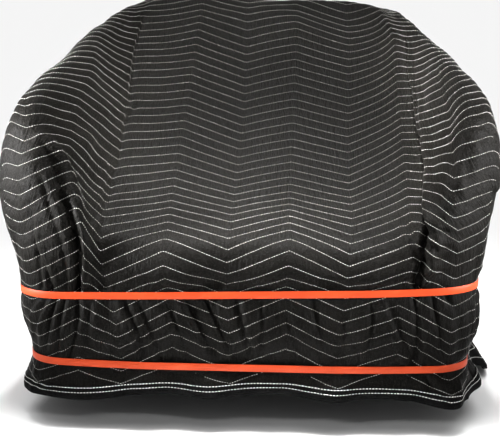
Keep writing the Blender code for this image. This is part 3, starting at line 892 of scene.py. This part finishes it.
    def swell(self) -> np.ndarray:
        """Let the loose cloth swell unevenly: least on the slope, most on the arms and the front.

        Returns:
            The height at each point.
        """
        source = random.Random(self.gather_seed + 1)
        total = np.zeros(len(self.points))
        for _ in range(self.swell_waves):
            length = source.uniform(0.05, 0.20)
            angle = source.uniform(-0.9, 0.9)
            phase = 2 * math.pi * (self.across * math.cos(angle) + self.along * math.sin(angle)) / length
            total += length * np.sin(phase + source.uniform(0, 6.28))
        total /= 0.12 * math.sqrt(self.swell_waves)
        reach = np.abs(self.across)
        ahead = np.minimum(self.along, self.cut.length - self.along)
        low = 1 - smooth_step(0.24, 0.34, ahead)
        arms = smooth_step(0.30, 0.38, reach) * (1 - smooth_step(0.70, 1.0, ahead))
        still, loose = self.swell_sizes
        return total * (still + loose * np.maximum(low, arms))


def fold_heights(place: np.ndarray, fold: Fold, half_width: float, knots: np.ndarray) -> np.ndarray:
    """Return the height that one fold adds at each place on the cloth.

    Args:
        place: Places across and along the cloth.
        fold: The kind of fold.
        half_width: Its half width; a negative one puts a tuck's lip on the other side.
        knots: Places across and along, and the height at each.

    Returns:
        The heights, negative in a valley.
    """
    reach = 6 * abs(half_width)
    low, high = knots[:, :2].min(axis=0) - reach, knots[:, :2].max(axis=0) + reach
    chosen = np.flatnonzero(((place > low) & (place < high)).all(axis=1))
    near = place[chosen]
    best = np.full(len(chosen), np.inf)
    away = np.zeros(len(chosen))
    tall = np.zeros(len(chosen))
    for start, stop in zip(knots, knots[1:]):
        way = stop[:2] - start[:2]
        offset = near - start[:2]
        t = np.clip(offset @ way / (way @ way), 0.0, 1.0)
        distance = np.linalg.norm(offset - t[:, None] * way, axis=1)
        closer = distance < best
        turn = np.sign(way[0] * offset[:, 1] - way[1] * offset[:, 0])
        best = np.where(closer, distance, best)
        away = np.where(closer, distance * turn, away)
        tall = np.where(closer, start[2] * (1 - t) + stop[2] * t, tall)
    across = away / half_width
    bell = np.exp(-across ** 2)
    if fold is Fold.TUCK:
        shape = 0.6 * np.exp(-((across - 2.0) / 1.2) ** 2) - bell
    elif fold is Fold.RIDGE:
        shape = bell
    else:
        shape = -bell
    heights = np.zeros(len(place))
    heights[chosen] = tall * shape
    return heights


def mesh_object(name: str, points: np.ndarray, faces: list) -> bpy.types.Object:
    """Make a mesh object at the origin.

    Args:
        name: The object's name.
        points: Its points.
        faces: Its faces, as tuples of point numbers.

    Returns:
        The new object, shaded smooth.
    """
    mesh = bpy.data.meshes.new(name)
    mesh.from_pydata(points.tolist(), [], faces)
    mesh.update()
    mesh.shade_smooth()
    item = bpy.data.objects.new(name, mesh)
    bpy.context.scene.collection.objects.link(item)
    return item


def lay_flat(item: bpy.types.Object, across: np.ndarray, along: np.ndarray) -> None:
    """Give a mesh a UV map in metres of flat cloth.

    Args:
        item: The mesh object.
        across: Each point's place across the cloth.
        along: Each point's place along the cloth.
    """
    corners = np.empty(len(item.data.loops), dtype=np.int32)
    item.data.loops.foreach_get("vertex_index", corners)
    flat = np.stack((across[corners], along[corners]), axis=1)
    item.data.uv_layers.new(name="flat cloth").data.foreach_set("uv", flat.ravel())


@dataclass(frozen=True)
class QuiltedCloth:
    """Woven cotton and polyester cloth, quilted: a charcoal with a faint brown cast, slightly satin.

    The threads lie about half a millimetre apart, too fine to show, so the grain is drawn at 2.2 mm.
    Fine wrinkles run down the cloth, some 6 mm wide and 34 mm long, and dust lies on it in dull clouds.
    """

    dark: str = "040403"
    middle: str = "080706"
    light: str = "141311"
    roughness: tuple[float, float] = (0.40, 0.55)
    specular: float = 0.028
    grain_mm: float = 2.2
    wrinkle_mm: tuple[float, float] = (6.0, 34.0)
    cloud_mm: float = 90.0
    cloud_share: float = 0.18
    wrinkle_height: float = 0.0032
    grain_height: float = 0.0012

    def material(self) -> bpy.types.Material:
        """Mix the cloth's material.

        Returns:
            The material.
        """
        material, tree, shader = new_material("quilted cloth, woven cotton and polyester")
        flat = add_node(tree, "ShaderNodeUVMap", {"uv_map": "flat cloth"}).outputs["UV"]
        across, along = (1000 / size for size in self.wrinkle_mm)
        stretched = add_node(tree, "ShaderNodeMapping", inputs={
            "Vector": flat, "Scale": (across, along, 1.0)}).outputs["Vector"]
        wrinkle = add_node(tree, "ShaderNodeTexNoise", inputs={
            "Vector": stretched, "Scale": 1.0, "Detail": 3.0, "Roughness": 0.55,
            "Distortion": 0.6}).outputs["Fac"]
        grain = add_node(tree, "ShaderNodeTexNoise", inputs={
            "Vector": flat, "Scale": 1000 / self.grain_mm, "Detail": 2.0}).outputs["Fac"]
        cloud = add_node(tree, "ShaderNodeTexNoise", inputs={
            "Vector": flat, "Scale": 1000 / self.cloud_mm, "Detail": 5.0,
            "Roughness": 0.6}).outputs["Fac"]
        mottle = add_node(tree, "ShaderNodeMix", {"data_type": "FLOAT"}, {
            "Factor": self.cloud_share, "A": grain, "B": cloud}).outputs["Result"]
        tone = add_node(tree, "ShaderNodeValToRGB", inputs={"Fac": mottle}, stops=(
            (0.40, self.dark), (0.50, self.middle), (0.60, self.light)))
        tree.links.new(tone.outputs["Color"], shader.inputs["Base Color"])
        low, high = self.roughness
        dull = add_node(tree, "ShaderNodeMapRange", inputs={
            "Value": cloud, "From Min": 0.3, "From Max": 0.7, "To Min": low, "To Max": high})
        tree.links.new(dull.outputs["Result"], shader.inputs["Roughness"])
        shader.inputs["Specular IOR Level"].default_value = self.specular
        creased = add_node(tree, "ShaderNodeBump", inputs={
            "Height": wrinkle, "Distance": self.wrinkle_height, "Strength": 1.0}).outputs["Normal"]
        bump = add_node(tree, "ShaderNodeBump", inputs={
            "Height": grain, "Distance": self.grain_height, "Strength": 1.0, "Normal": creased})
        tree.links.new(bump.outputs["Normal"], shader.inputs["Normal"])
        return material


@dataclass(frozen=True)
class Thread:
    """Spun polyester sewing thread: matt and slightly fuzzy, with lighter and darker fibres."""

    name: str
    dark: str
    light: str
    fibre_mm: float = 2.5
    fibre_height: float = 0.0002

    def material(self) -> bpy.types.Material:
        """Mix the thread's material.

        Returns:
            The material.
        """
        material, tree, shader = new_material(self.name)
        place = add_node(tree, "ShaderNodeTexCoord").outputs["Object"]
        fuzz = add_node(tree, "ShaderNodeTexNoise", inputs={
            "Vector": place, "Scale": 1000 / self.fibre_mm, "Detail": 2.0}).outputs["Fac"]
        tone = add_node(tree, "ShaderNodeValToRGB", inputs={"Fac": fuzz}, stops=(
            (0.35, self.dark), (0.65, self.light)))
        tree.links.new(tone.outputs["Color"], shader.inputs["Base Color"])
        bump = add_node(tree, "ShaderNodeBump", inputs={
            "Height": fuzz, "Distance": self.fibre_height, "Strength": 1.0})
        tree.links.new(bump.outputs["Normal"], shader.inputs["Normal"])
        shader.inputs["Roughness"].default_value = 0.65
        shader.inputs["Specular IOR Level"].default_value = 0.3
        return material


@dataclass(frozen=True)
class BindingTape:
    """Woven polyester binding tape: blacker and flatter than the cloth, with a fine rib.

    The real rib is finer than a millimetre, so it is drawn at 3 mm to show.
    """

    dark: str = "030303"
    light: str = "0a0a0a"
    rib_mm: float = 3.0
    rib_height: float = 0.0007
    clouds_per_metre: float = 26.0

    def material(self) -> bpy.types.Material:
        """Mix the tape's material.

        Returns:
            The material.
        """
        material, tree, shader = new_material("binding tape, woven polyester")
        place = add_node(tree, "ShaderNodeTexCoord").outputs["Object"]
        cloud = add_node(tree, "ShaderNodeTexNoise", inputs={
            "Vector": place, "Scale": self.clouds_per_metre, "Detail": 4.0}).outputs["Fac"]
        rib = add_node(tree, "ShaderNodeTexNoise", inputs={
            "Vector": place, "Scale": 1000 / self.rib_mm, "Detail": 1.0}).outputs["Fac"]
        tone = add_node(tree, "ShaderNodeValToRGB", inputs={"Fac": cloud}, stops=(
            (0.3, self.dark), (0.8, self.light)))
        tree.links.new(tone.outputs["Color"], shader.inputs["Base Color"])
        bump = add_node(tree, "ShaderNodeBump", inputs={
            "Height": rib, "Distance": self.rib_height, "Strength": 1.0})
        tree.links.new(bump.outputs["Normal"], shader.inputs["Normal"])
        shader.inputs["Roughness"].default_value = 0.75
        shader.inputs["Specular IOR Level"].default_value = 0.03
        return material


@dataclass(frozen=True)
class BandRubber:
    """Natural rubber, cut in strips: bright orange, satin, a little dusty and faintly rippled."""

    dark: str = "a23410"
    light: str = "ae3a13"
    dust: str = "b24f2b"
    ripple_mm: float = 5.0
    ripple_height: float = 0.0005
    clouds_per_metre: float = 16.0

    def material(self) -> bpy.types.Material:
        """Mix the rubber's material.

        Returns:
            The material.
        """
        material, tree, shader = new_material("natural rubber, cut and vulcanised")
        place = add_node(tree, "ShaderNodeTexCoord").outputs["Object"]
        cloud = add_node(tree, "ShaderNodeTexNoise", inputs={
            "Vector": place, "Scale": self.clouds_per_metre, "Detail": 6.0}).outputs["Fac"]
        ripple = add_node(tree, "ShaderNodeTexNoise", inputs={
            "Vector": place, "Scale": 1000 / self.ripple_mm, "Detail": 3.0}).outputs["Fac"]
        tone = add_node(tree, "ShaderNodeValToRGB", inputs={"Fac": cloud}, stops=(
            (0.30, self.dark), (0.62, self.light), (0.85, self.dust)))
        tree.links.new(tone.outputs["Color"], shader.inputs["Base Color"])
        bump = add_node(tree, "ShaderNodeBump", inputs={
            "Height": ripple, "Distance": self.ripple_height, "Strength": 1.0})
        tree.links.new(bump.outputs["Normal"], shader.inputs["Normal"])
        shader.inputs["Roughness"].default_value = 0.48
        shader.inputs["Specular IOR Level"].default_value = 0.20
        return material


@dataclass
class Pad:
    """The quilted sheet as one closed mesh."""

    drape: Drape
    inner_row_step: int = 4
    inner_column_step: int = 4

    def build(self) -> bpy.types.Object:
        """Build the sheet's fine outer face, a plainer inner face and the rim between them.

        Returns:
            The sheet, with its UV map.
        """
        drape = self.drape
        faces = [tuple(quad) for quad in drape.quads.tolist()]
        inner_points = drape.points - drape.normals * drape.cut.thickness
        number_of = {}
        extra = []

        def inner(number: int) -> int:
            """Return the number of a point's twin on the inner face."""
            if number not in number_of:
                number_of[number] = len(drape.points) + len(extra)
                extra.append(inner_points[number])
            return number_of[number]

        for numbers, flipped in drape.grids():
            rows = self.steps(numbers.shape[0], self.inner_row_step)
            columns = self.steps(numbers.shape[1], self.column_step(numbers))
            for r_1, r_2 in zip(rows, rows[1:]):
                for c_1, c_2 in zip(columns, columns[1:]):
                    corners = (numbers[r_1, c_1], numbers[r_1, c_2],
                               numbers[r_2, c_2], numbers[r_2, c_1])
                    face = tuple(inner(int(corner)) for corner in corners)
                    faces.append(face if flipped else face[::-1])
        ring = [int(number) for number in drape.ring(0)]
        marks = [k for k, number in enumerate(ring) if number in number_of]
        for k, mark in enumerate(marks):
            following = marks[(k + 1) % len(marks)]
            stop = following if following > mark else following + len(ring)
            outer = [ring[m % len(ring)] for m in range(mark, stop + 1)]
            faces.append(tuple(outer[::-1] + [number_of[outer[0]], number_of[outer[-1]]]))
        points = np.concatenate((drape.points, np.array(extra)))
        item = mesh_object("quilted_sheet", points, faces)
        sources = np.concatenate((np.arange(len(drape.points)), np.array(list(number_of))))
        lay_flat(item, drape.across[sources], drape.along[sources])
        return item

    @staticmethod
    def steps(count: int, step: int) -> list[int]:
        """Return every step-th place, and always the last one."""
        places = list(range(0, count, step))
        return places if places[-1] == count - 1 else places + [count - 1]

    def column_step(self, numbers: np.ndarray) -> int:
        """Return the step across: walls share the strip's rows, so they take its row step."""
        on_strip = numbers is self.drape.strip_numbers
        return self.inner_column_step if on_strip else self.inner_row_step


@dataclass
class Stitching:
    """Sewn lines: a short raised stitch every few millimetres."""

    pitch: float = 0.0050
    length: float = 0.0040
    half_width: float = 0.00066
    rise: float = 0.0008
    shortest: float = 0.055

    def contours(self, drape: Drape, numbers: np.ndarray, lines: np.ndarray,
                 wanted: range) -> list[np.ndarray]:
        """Find quilting lines that cross the columns of a grid.

        Args:
            drape: The sheet.
            numbers: The grid's point numbers.
            lines: The line number at each grid point, rising along the rows.
            wanted: The lines to find.

        Returns:
            One array for each line: points and normals side by side, with gaps as NaN.
        """
        data = np.concatenate((drape.points, drape.normals), axis=1)[numbers]
        rows, columns = lines.shape
        found = []
        for line in wanted:
            path = np.full((columns, 6), np.nan)
            crossing = (lines[:-1] <= line) & (lines[1:] > line)
            for column in np.flatnonzero(crossing.any(axis=0)):
                row = int(np.argmax(crossing[:, column]))
                low, high = lines[row, column], lines[row + 1, column]
                t = (line - low) / (high - low)
                path[column] = data[row, column] * (1 - t) + data[row + 1, column] * t
            found.append(path)
        return found

    def stitches(self, paths: list[np.ndarray]) -> tuple[np.ndarray, np.ndarray]:
        """Place stitches along paths.

        Args:
            paths: Points and normals along each line, with gaps as NaN.

        Returns:
            The points and the faces of all the stitches.
        """
        centres, tangents, normals = [], [], []
        for path in paths:
            good = ~np.isnan(path[:, 0])
            edges = np.flatnonzero(np.diff(np.concatenate(([0], good.astype(int), [0]))))
            for start, stop in zip(edges[::2], edges[1::2]):
                piece = path[start:stop]
                if stop - start < 2:
                    continue
                walked = run_length(piece[:, :3])
                places = np.arange(self.pitch / 2, walked[-1], self.pitch)
                if walked[-1] < self.shortest:
                    continue
                at = [np.array([np.interp(p, walked, piece[:, axis]) for axis in range(6)])
                      for p in places]
                ahead = [np.array([np.interp(p + d, walked, piece[:, axis]) for axis in range(3)])
                         for p in places for d in (-0.001, 0.001)]
                at, ahead = np.array(at), np.array(ahead).reshape(-1, 2, 3)
                centres.append(at[:, :3])
                normals.append(at[:, 3:])
                tangents.append(ahead[:, 1] - ahead[:, 0])
        centre = np.concatenate(centres)
        tangent = np.concatenate(tangents)
        normal = np.concatenate(normals)
        tangent /= np.maximum(np.linalg.norm(tangent, axis=1), 1e-9)[:, None]
        normal -= tangent * np.sum(normal * tangent, axis=1)[:, None]
        normal /= np.maximum(np.linalg.norm(normal, axis=1), 1e-9)[:, None]
        sideways = np.cross(normal, tangent)
        half = self.length / 2
        corners = np.stack((
            centre - tangent * half - normal * 0.0001, centre + tangent * half - normal * 0.0001,
            centre + sideways * self.half_width, centre - sideways * self.half_width,
            centre + normal * self.rise, centre - normal * 0.0004), axis=1)
        pattern = np.array(((0, 3, 4), (3, 1, 4), (1, 2, 4), (2, 0, 4),
                            (3, 0, 5), (1, 3, 5), (2, 1, 5), (0, 2, 5)))
        faces = (np.arange(len(centre))[:, None, None] * 6 + pattern).reshape(-1, 3)
        return corners.reshape(-1, 3), faces

    def build(self, name: str, paths: list[np.ndarray]) -> bpy.types.Object:
        """Build one mesh of stitches along paths."""
        points, faces = self.stitches(paths)
        return mesh_object(name, points, faces.tolist())


@dataclass
class Binding:
    """The strip folded over the pad's edge."""

    drape: Drape
    rows: int = 4
    gap: float = 0.00045
    thickness: float = 0.001
    seam_places: tuple[float, float] = (0.55, 0.90)

    def build(self) -> bpy.types.Object:
        """Build the folded strip around the whole edge.

        Returns:
            The strip.
        """
        drape = self.drape
        rings = [drape.ring(row) for row in range(self.rows + 1)]
        outer = [(drape.points[ring], drape.normals[ring]) for ring in rings]
        edge, edge_out = outer[0]
        down = edge - outer[1][0]
        down /= np.linalg.norm(down, axis=1)[:, None]
        near, far = self.gap, self.gap + self.thickness
        depth = drape.cut.thickness
        loops = [points + out * far for points, out in outer[::-1]]
        loops += [edge + (edge_out * 0.6 + down * 0.8) * far,
                  edge - edge_out * (depth * 0.5) + down * far,
                  edge - edge_out * depth + (down * 0.8 - edge_out * 0.6) * far]
        loops += [points - out * (depth + far) for points, out in outer[::2]]
        loops += [points - out * (depth + near) for points, out in outer[::-2]]
        loops += [edge - edge_out * (depth + near) + down * near, edge + (edge_out + down) * near]
        loops += [points + out * near for points, out in outer[1:]]
        section, count = len(loops), len(edge)
        points = np.stack(loops, axis=1).reshape(-1, 3)
        faces = []
        for k in range(count):
            here, there = k * section, (k + 1) % count * section
            for m in range(section):
                m_next = (m + 1) % section
                faces.append((here + m, here + m_next, there + m_next, there + m))
        return mesh_object("binding_tape", points, faces)

    def seams(self) -> list[np.ndarray]:
        """Lay the two stitched lines along the strip.

        Returns:
            A closed path for each line, of points and normals side by side.
        """
        drape = self.drape
        paths = []
        for place in self.seam_places:
            row = place * self.rows
            low = int(row)
            share = row - low
            path = []
            for ring_row, weight in ((low, 1 - share), (low + 1, share)):
                ring = drape.ring(ring_row)
                lift = drape.normals[ring] * (self.gap + self.thickness)
                data = np.concatenate((drape.points[ring] + lift, drape.normals[ring]), axis=1)
                path.append(np.concatenate((data, data[:1])) * weight)
            paths.append(sum(path))
        return paths


@dataclass
class RubberBand:
    """A flat rubber band stretched around the pad: it bridges the hollows."""

    drape: Drape
    name: str
    level: float
    tilt: float
    height: float = 0.014
    thickness: float = 0.0015
    gap: float = 0.0003
    segments: int = 360

    def outline(self) -> np.ndarray:
        """Stretch a tight outline around the cloth at the band's level.

        Returns:
            Its points, evenly spaced.
        """
        points = self.drape.points
        middle = self.level - SEAT_BACK_TOP[2] + self.tilt * points[:, 0]
        near = np.abs(points[:, 2] - middle) < self.height / 2 + 0.002
        hull = convex_outline(points[near][:, :2])
        closed = np.concatenate((hull, hull[:1]))
        walked = run_length(closed)
        places = np.linspace(0, walked[-1], self.segments, endpoint=False)
        even = np.stack([np.interp(places, walked, closed[:, k]) for k in (0, 1)], axis=1)
        for _ in range(4):
            even = 0.5 * even + 0.25 * (np.roll(even, 1, axis=0) + np.roll(even, -1, axis=0))
        return even

    def build(self) -> bpy.types.Object:
        """Shape an open tube into the band, give it its thickness and round its edges.

        Returns:
            The band.
        """
        bpy.ops.object.select_all(action="DESELECT")
        bpy.ops.mesh.primitive_cylinder_add(vertices=self.segments, radius=1.0,
                                            depth=self.height, end_fill_type="NOTHING")
        band = bpy.context.object
        band.name = self.name
        outline = self.outline()
        ways = np.roll(outline, -1, axis=0) - np.roll(outline, 1, axis=0)
        outward = np.stack((ways[:, 1], -ways[:, 0]), axis=1)
        outward /= np.linalg.norm(outward, axis=1)[:, None]
        grown = outline + outward * (self.gap + 0.0004)
        for vertex in band.data.vertices:
            turn = math.atan2(vertex.co.y, vertex.co.x) / (2 * math.pi) % 1.0
            place = grown[int(round(turn * self.segments)) % self.segments]
            height = self.level - SEAT_BACK_TOP[2] + self.tilt * place[0]
            vertex.co = (place[0], place[1], height + vertex.co.z)
        solid = band.modifiers.new("thickness", "SOLIDIFY")
        solid.thickness, solid.offset = self.thickness, 1.0
        bpy.ops.object.modifier_apply(modifier=solid.name)
        bevel = band.modifiers.new("soft edges", "BEVEL")
        bevel.width, bevel.segments, bevel.limit_method = 0.0005, 2, "ANGLE"
        bpy.ops.object.modifier_apply(modifier=bevel.name)
        band.data.shade_smooth()
        return band


def convex_outline(points: np.ndarray) -> np.ndarray:
    """Find the convex outline of flat points.

    Args:
        points: The points, two coordinates each.

    Returns:
        The outline's corners, counter-clockwise.
    """
    ordered = sorted({(round(x, 6), round(y, 6)) for x, y in points.tolist()})

    def half(sequence: list) -> list:
        """Return one side of the outline."""
        chain: list = []
        for point in sequence:
            while len(chain) > 1:
                (ax, ay), (bx, by) = chain[-2], chain[-1]
                if (bx - ax) * (point[1] - ay) - (by - ay) * (point[0] - ax) > 1e-10:
                    break
                chain.pop()
            chain.append(point)
        return chain[:-1]

    return np.array(half(ordered) + half(ordered[::-1]))


@dataclass
class Studio:
    """The pale floor, the soft lights and the camera."""

    floor_level: float = -0.790
    camera_place: tuple[float, float, float] = (0.1185, -2.880, 0.128)
    camera_turn: float = 3.0
    camera_tilt: float = 13.0
    lens: float = 85.0
    surround: float = 0.34
    daylight: float = 2.2
    daylight_angle: float = 70.0
    daylight_tilt: float = -4.0
    lights: tuple[tuple[str, tuple, float, float, tuple, float], ...] = (
        ("left", (-2.3, -1.1, 0.05), 0.5, 13.0, (-0.50, -0.6, -0.22), 15),
        ("right", (2.3, -1.2, 0.1), 0.5, 7.0, (0.50, -0.6, -0.24), 14),
        ("seat", (0.0, -0.70, 1.9), 0.6, 8.0, (0.0, -0.76, -0.42), 18),
        ("top", (0.0, -0.80, 1.9), 0.8, 8.0, (0.0, -0.20, -0.20), 34),
    )

    def build(self) -> None:
        """Build the studio."""
        self.add_floor()
        self.add_camera()
        for name, place, size, power, target, spread in self.lights:
            self.add_light(name, place, size, power, target, spread)
        self.add_daylight()
        world = bpy.data.worlds.new("studio")
        bpy.context.scene.world = world
        world.use_nodes = True
        background = world.node_tree.nodes["Background"]
        background.inputs["Color"].default_value = (1, 1, 1, 1)
        background.inputs["Strength"].default_value = self.surround
        bpy.context.scene.view_settings.view_transform = "Standard"

    def add_daylight(self) -> None:
        """Hang a very soft light far above, which whitens the floor evenly."""
        data = bpy.data.lights.new("daylight", "SUN")
        data.energy, data.angle = self.daylight, math.radians(self.daylight_angle)
        light = bpy.data.objects.new("daylight", data)
        light.location = (0.0, 0.0, 4.0)
        light.rotation_euler = (math.radians(self.daylight_tilt), 0.0, 0.0)
        bpy.context.scene.collection.objects.link(light)

    def add_floor(self) -> None:
        """Lay a large pale floor."""
        bpy.ops.object.select_all(action="DESELECT")
        bpy.ops.mesh.primitive_plane_add(size=90.0, location=(0, 0, self.floor_level))
        floor = bpy.context.object
        floor.name = "floor"
        material, _, shader = new_material("studio floor, matt white")
        shader.inputs["Base Color"].default_value = srgb("f4f4f4")
        shader.inputs["Roughness"].default_value = 0.9
        floor.data.materials.append(material)

    def add_camera(self) -> None:
        """Set the camera at the photographed angle."""
        data = bpy.data.cameras.new("camera")
        data.lens, data.sensor_width = self.lens, 36.0
        camera = bpy.data.objects.new("camera", data)
        camera.location = self.camera_place
        camera.rotation_euler = (math.radians(90 - self.camera_tilt), 0,
                                 math.radians(self.camera_turn))
        bpy.context.scene.collection.objects.link(camera)
        bpy.context.scene.camera = camera

    def add_light(self, name: str, place: tuple[float, float, float], size: float,
                  power: float, target: tuple[float, float, float], spread: float) -> None:
        """Hang a soft square light.

        Args:
            name: Its name.
            place: Where it hangs.
            size: Its width.
            power: Its power in watts.
            target: The point that it faces.
            spread: How wide it shines, in degrees: the floor around the object gets little of it.
        """
        data = bpy.data.lights.new(name, "AREA")
        data.size, data.energy, data.spread = size, power, math.radians(spread)
        light = bpy.data.objects.new(name, data)
        light.location = place
        aim = Vector(target) - Vector(place)
        light.rotation_euler = aim.to_track_quat("-Z", "Y").to_euler()
        bpy.context.scene.collection.objects.link(light)


def dress(item: bpy.types.Object, material: bpy.types.Material) -> None:
    """Give a piece its material and slot, and let it ride on the object.

    Args:
        item: The piece.
        material: Its material.
    """
    item.data.materials.clear()
    item.data.materials.append(material)
    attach(item, "root")
    LOG.info("%s: %d faces", item.name, len(item.data.polygons))


def quilt_paths(drape: Drape, stitching: Stitching) -> dict[str, list[np.ndarray]]:
    """Find every quilting line on the strip and the walls.

    Args:
        drape: The sheet.
        stitching: The stitching that follows the lines.

    Returns:
        The paths, by the name of the mesh that they go to.
    """
    cut = drape.cut
    along = drape.along[drape.strip_numbers]
    lines = drape.line[drape.strip_numbers]
    covered = (along < cut.binding_width) | (along > cut.length - cut.binding_width)
    lines = np.where(covered, np.nan, lines)
    turn = drape.form.top_channels
    paths = {
        "quilt_stitches_front": stitching.contours(drape, drape.strip_numbers, lines,
                                                   range(0, turn)),
        "quilt_stitches_back": stitching.contours(drape, drape.strip_numbers, lines,
                                                  range(turn, cut.channels)),
        "quilt_stitches_sides": [],
    }
    sides = paths["quilt_stitches_sides"]
    for wall in drape.walls:
        lines = wall.line
        hem = drape.points[wall.numbers[:1], 2]
        covered = drape.points[wall.numbers, 2] - hem < cut.binding_width
        lines = np.where(covered, np.nan, lines)
        in_flap = wall.flap > 0
        front_half = np.arange(lines.shape[1]) < lines.shape[1] // 2
        wrap_lines = np.where(in_flap | ~front_half, np.nan, lines)
        sides += stitching.contours(drape, wall.numbers, wrap_lines, range(0, 40))
        back_lines = np.where(in_flap | front_half, np.nan, -lines)
        sides += stitching.contours(drape, wall.numbers, back_lines, range(-80, -30))
        flap_lines = np.where(in_flap, lines, np.nan).T
        sides += stitching.contours(drape, wall.numbers.T, flap_lines, range(0, 80))
    return paths


def main() -> None:
    """Load the frame, build the pad, its binding, its stitches, the bands and the studio."""
    logging.basicConfig(level=logging.INFO, format="%(name)s: %(message)s")
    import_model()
    cut = Cut()
    drape = Drape(cut, Form(cut))
    sheet = Pad(drape).build()
    dress(sheet, QuiltedCloth().material())
    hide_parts("pad")
    binding = Binding(drape)
    tape = binding.build()
    dress(tape, BindingTape().material())
    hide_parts("binding")
    stitching = Stitching()
    grey = Thread("grey quilting thread, spun polyester", "a6a49f", "cccac5").material()
    for name, paths in quilt_paths(drape, stitching).items():
        item = stitching.build(name, paths)
        dress(item, grey)
    seams = Stitching(pitch=0.0062, length=0.0062, half_width=0.0011, rise=0.0011)
    white = Thread("white seam thread, spun polyester", "d6d4d0", "efedea").material()
    item = seams.build("binding_stitches", binding.seams())
    dress(item, white)
    form = drape.form
    for name, node, level, tilt in (
            ("upper_rubber_band", "band_upper", form.upper_band_level, form.upper_band_tilt),
            ("lower_rubber_band", "band_lower", form.lower_band_level, form.lower_band_tilt)):
        band = RubberBand(drape, name, level, tilt).build()
        dress(band, BandRubber().material())
        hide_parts(node)
    Studio().build()


if __name__ == "__main__":
    main()
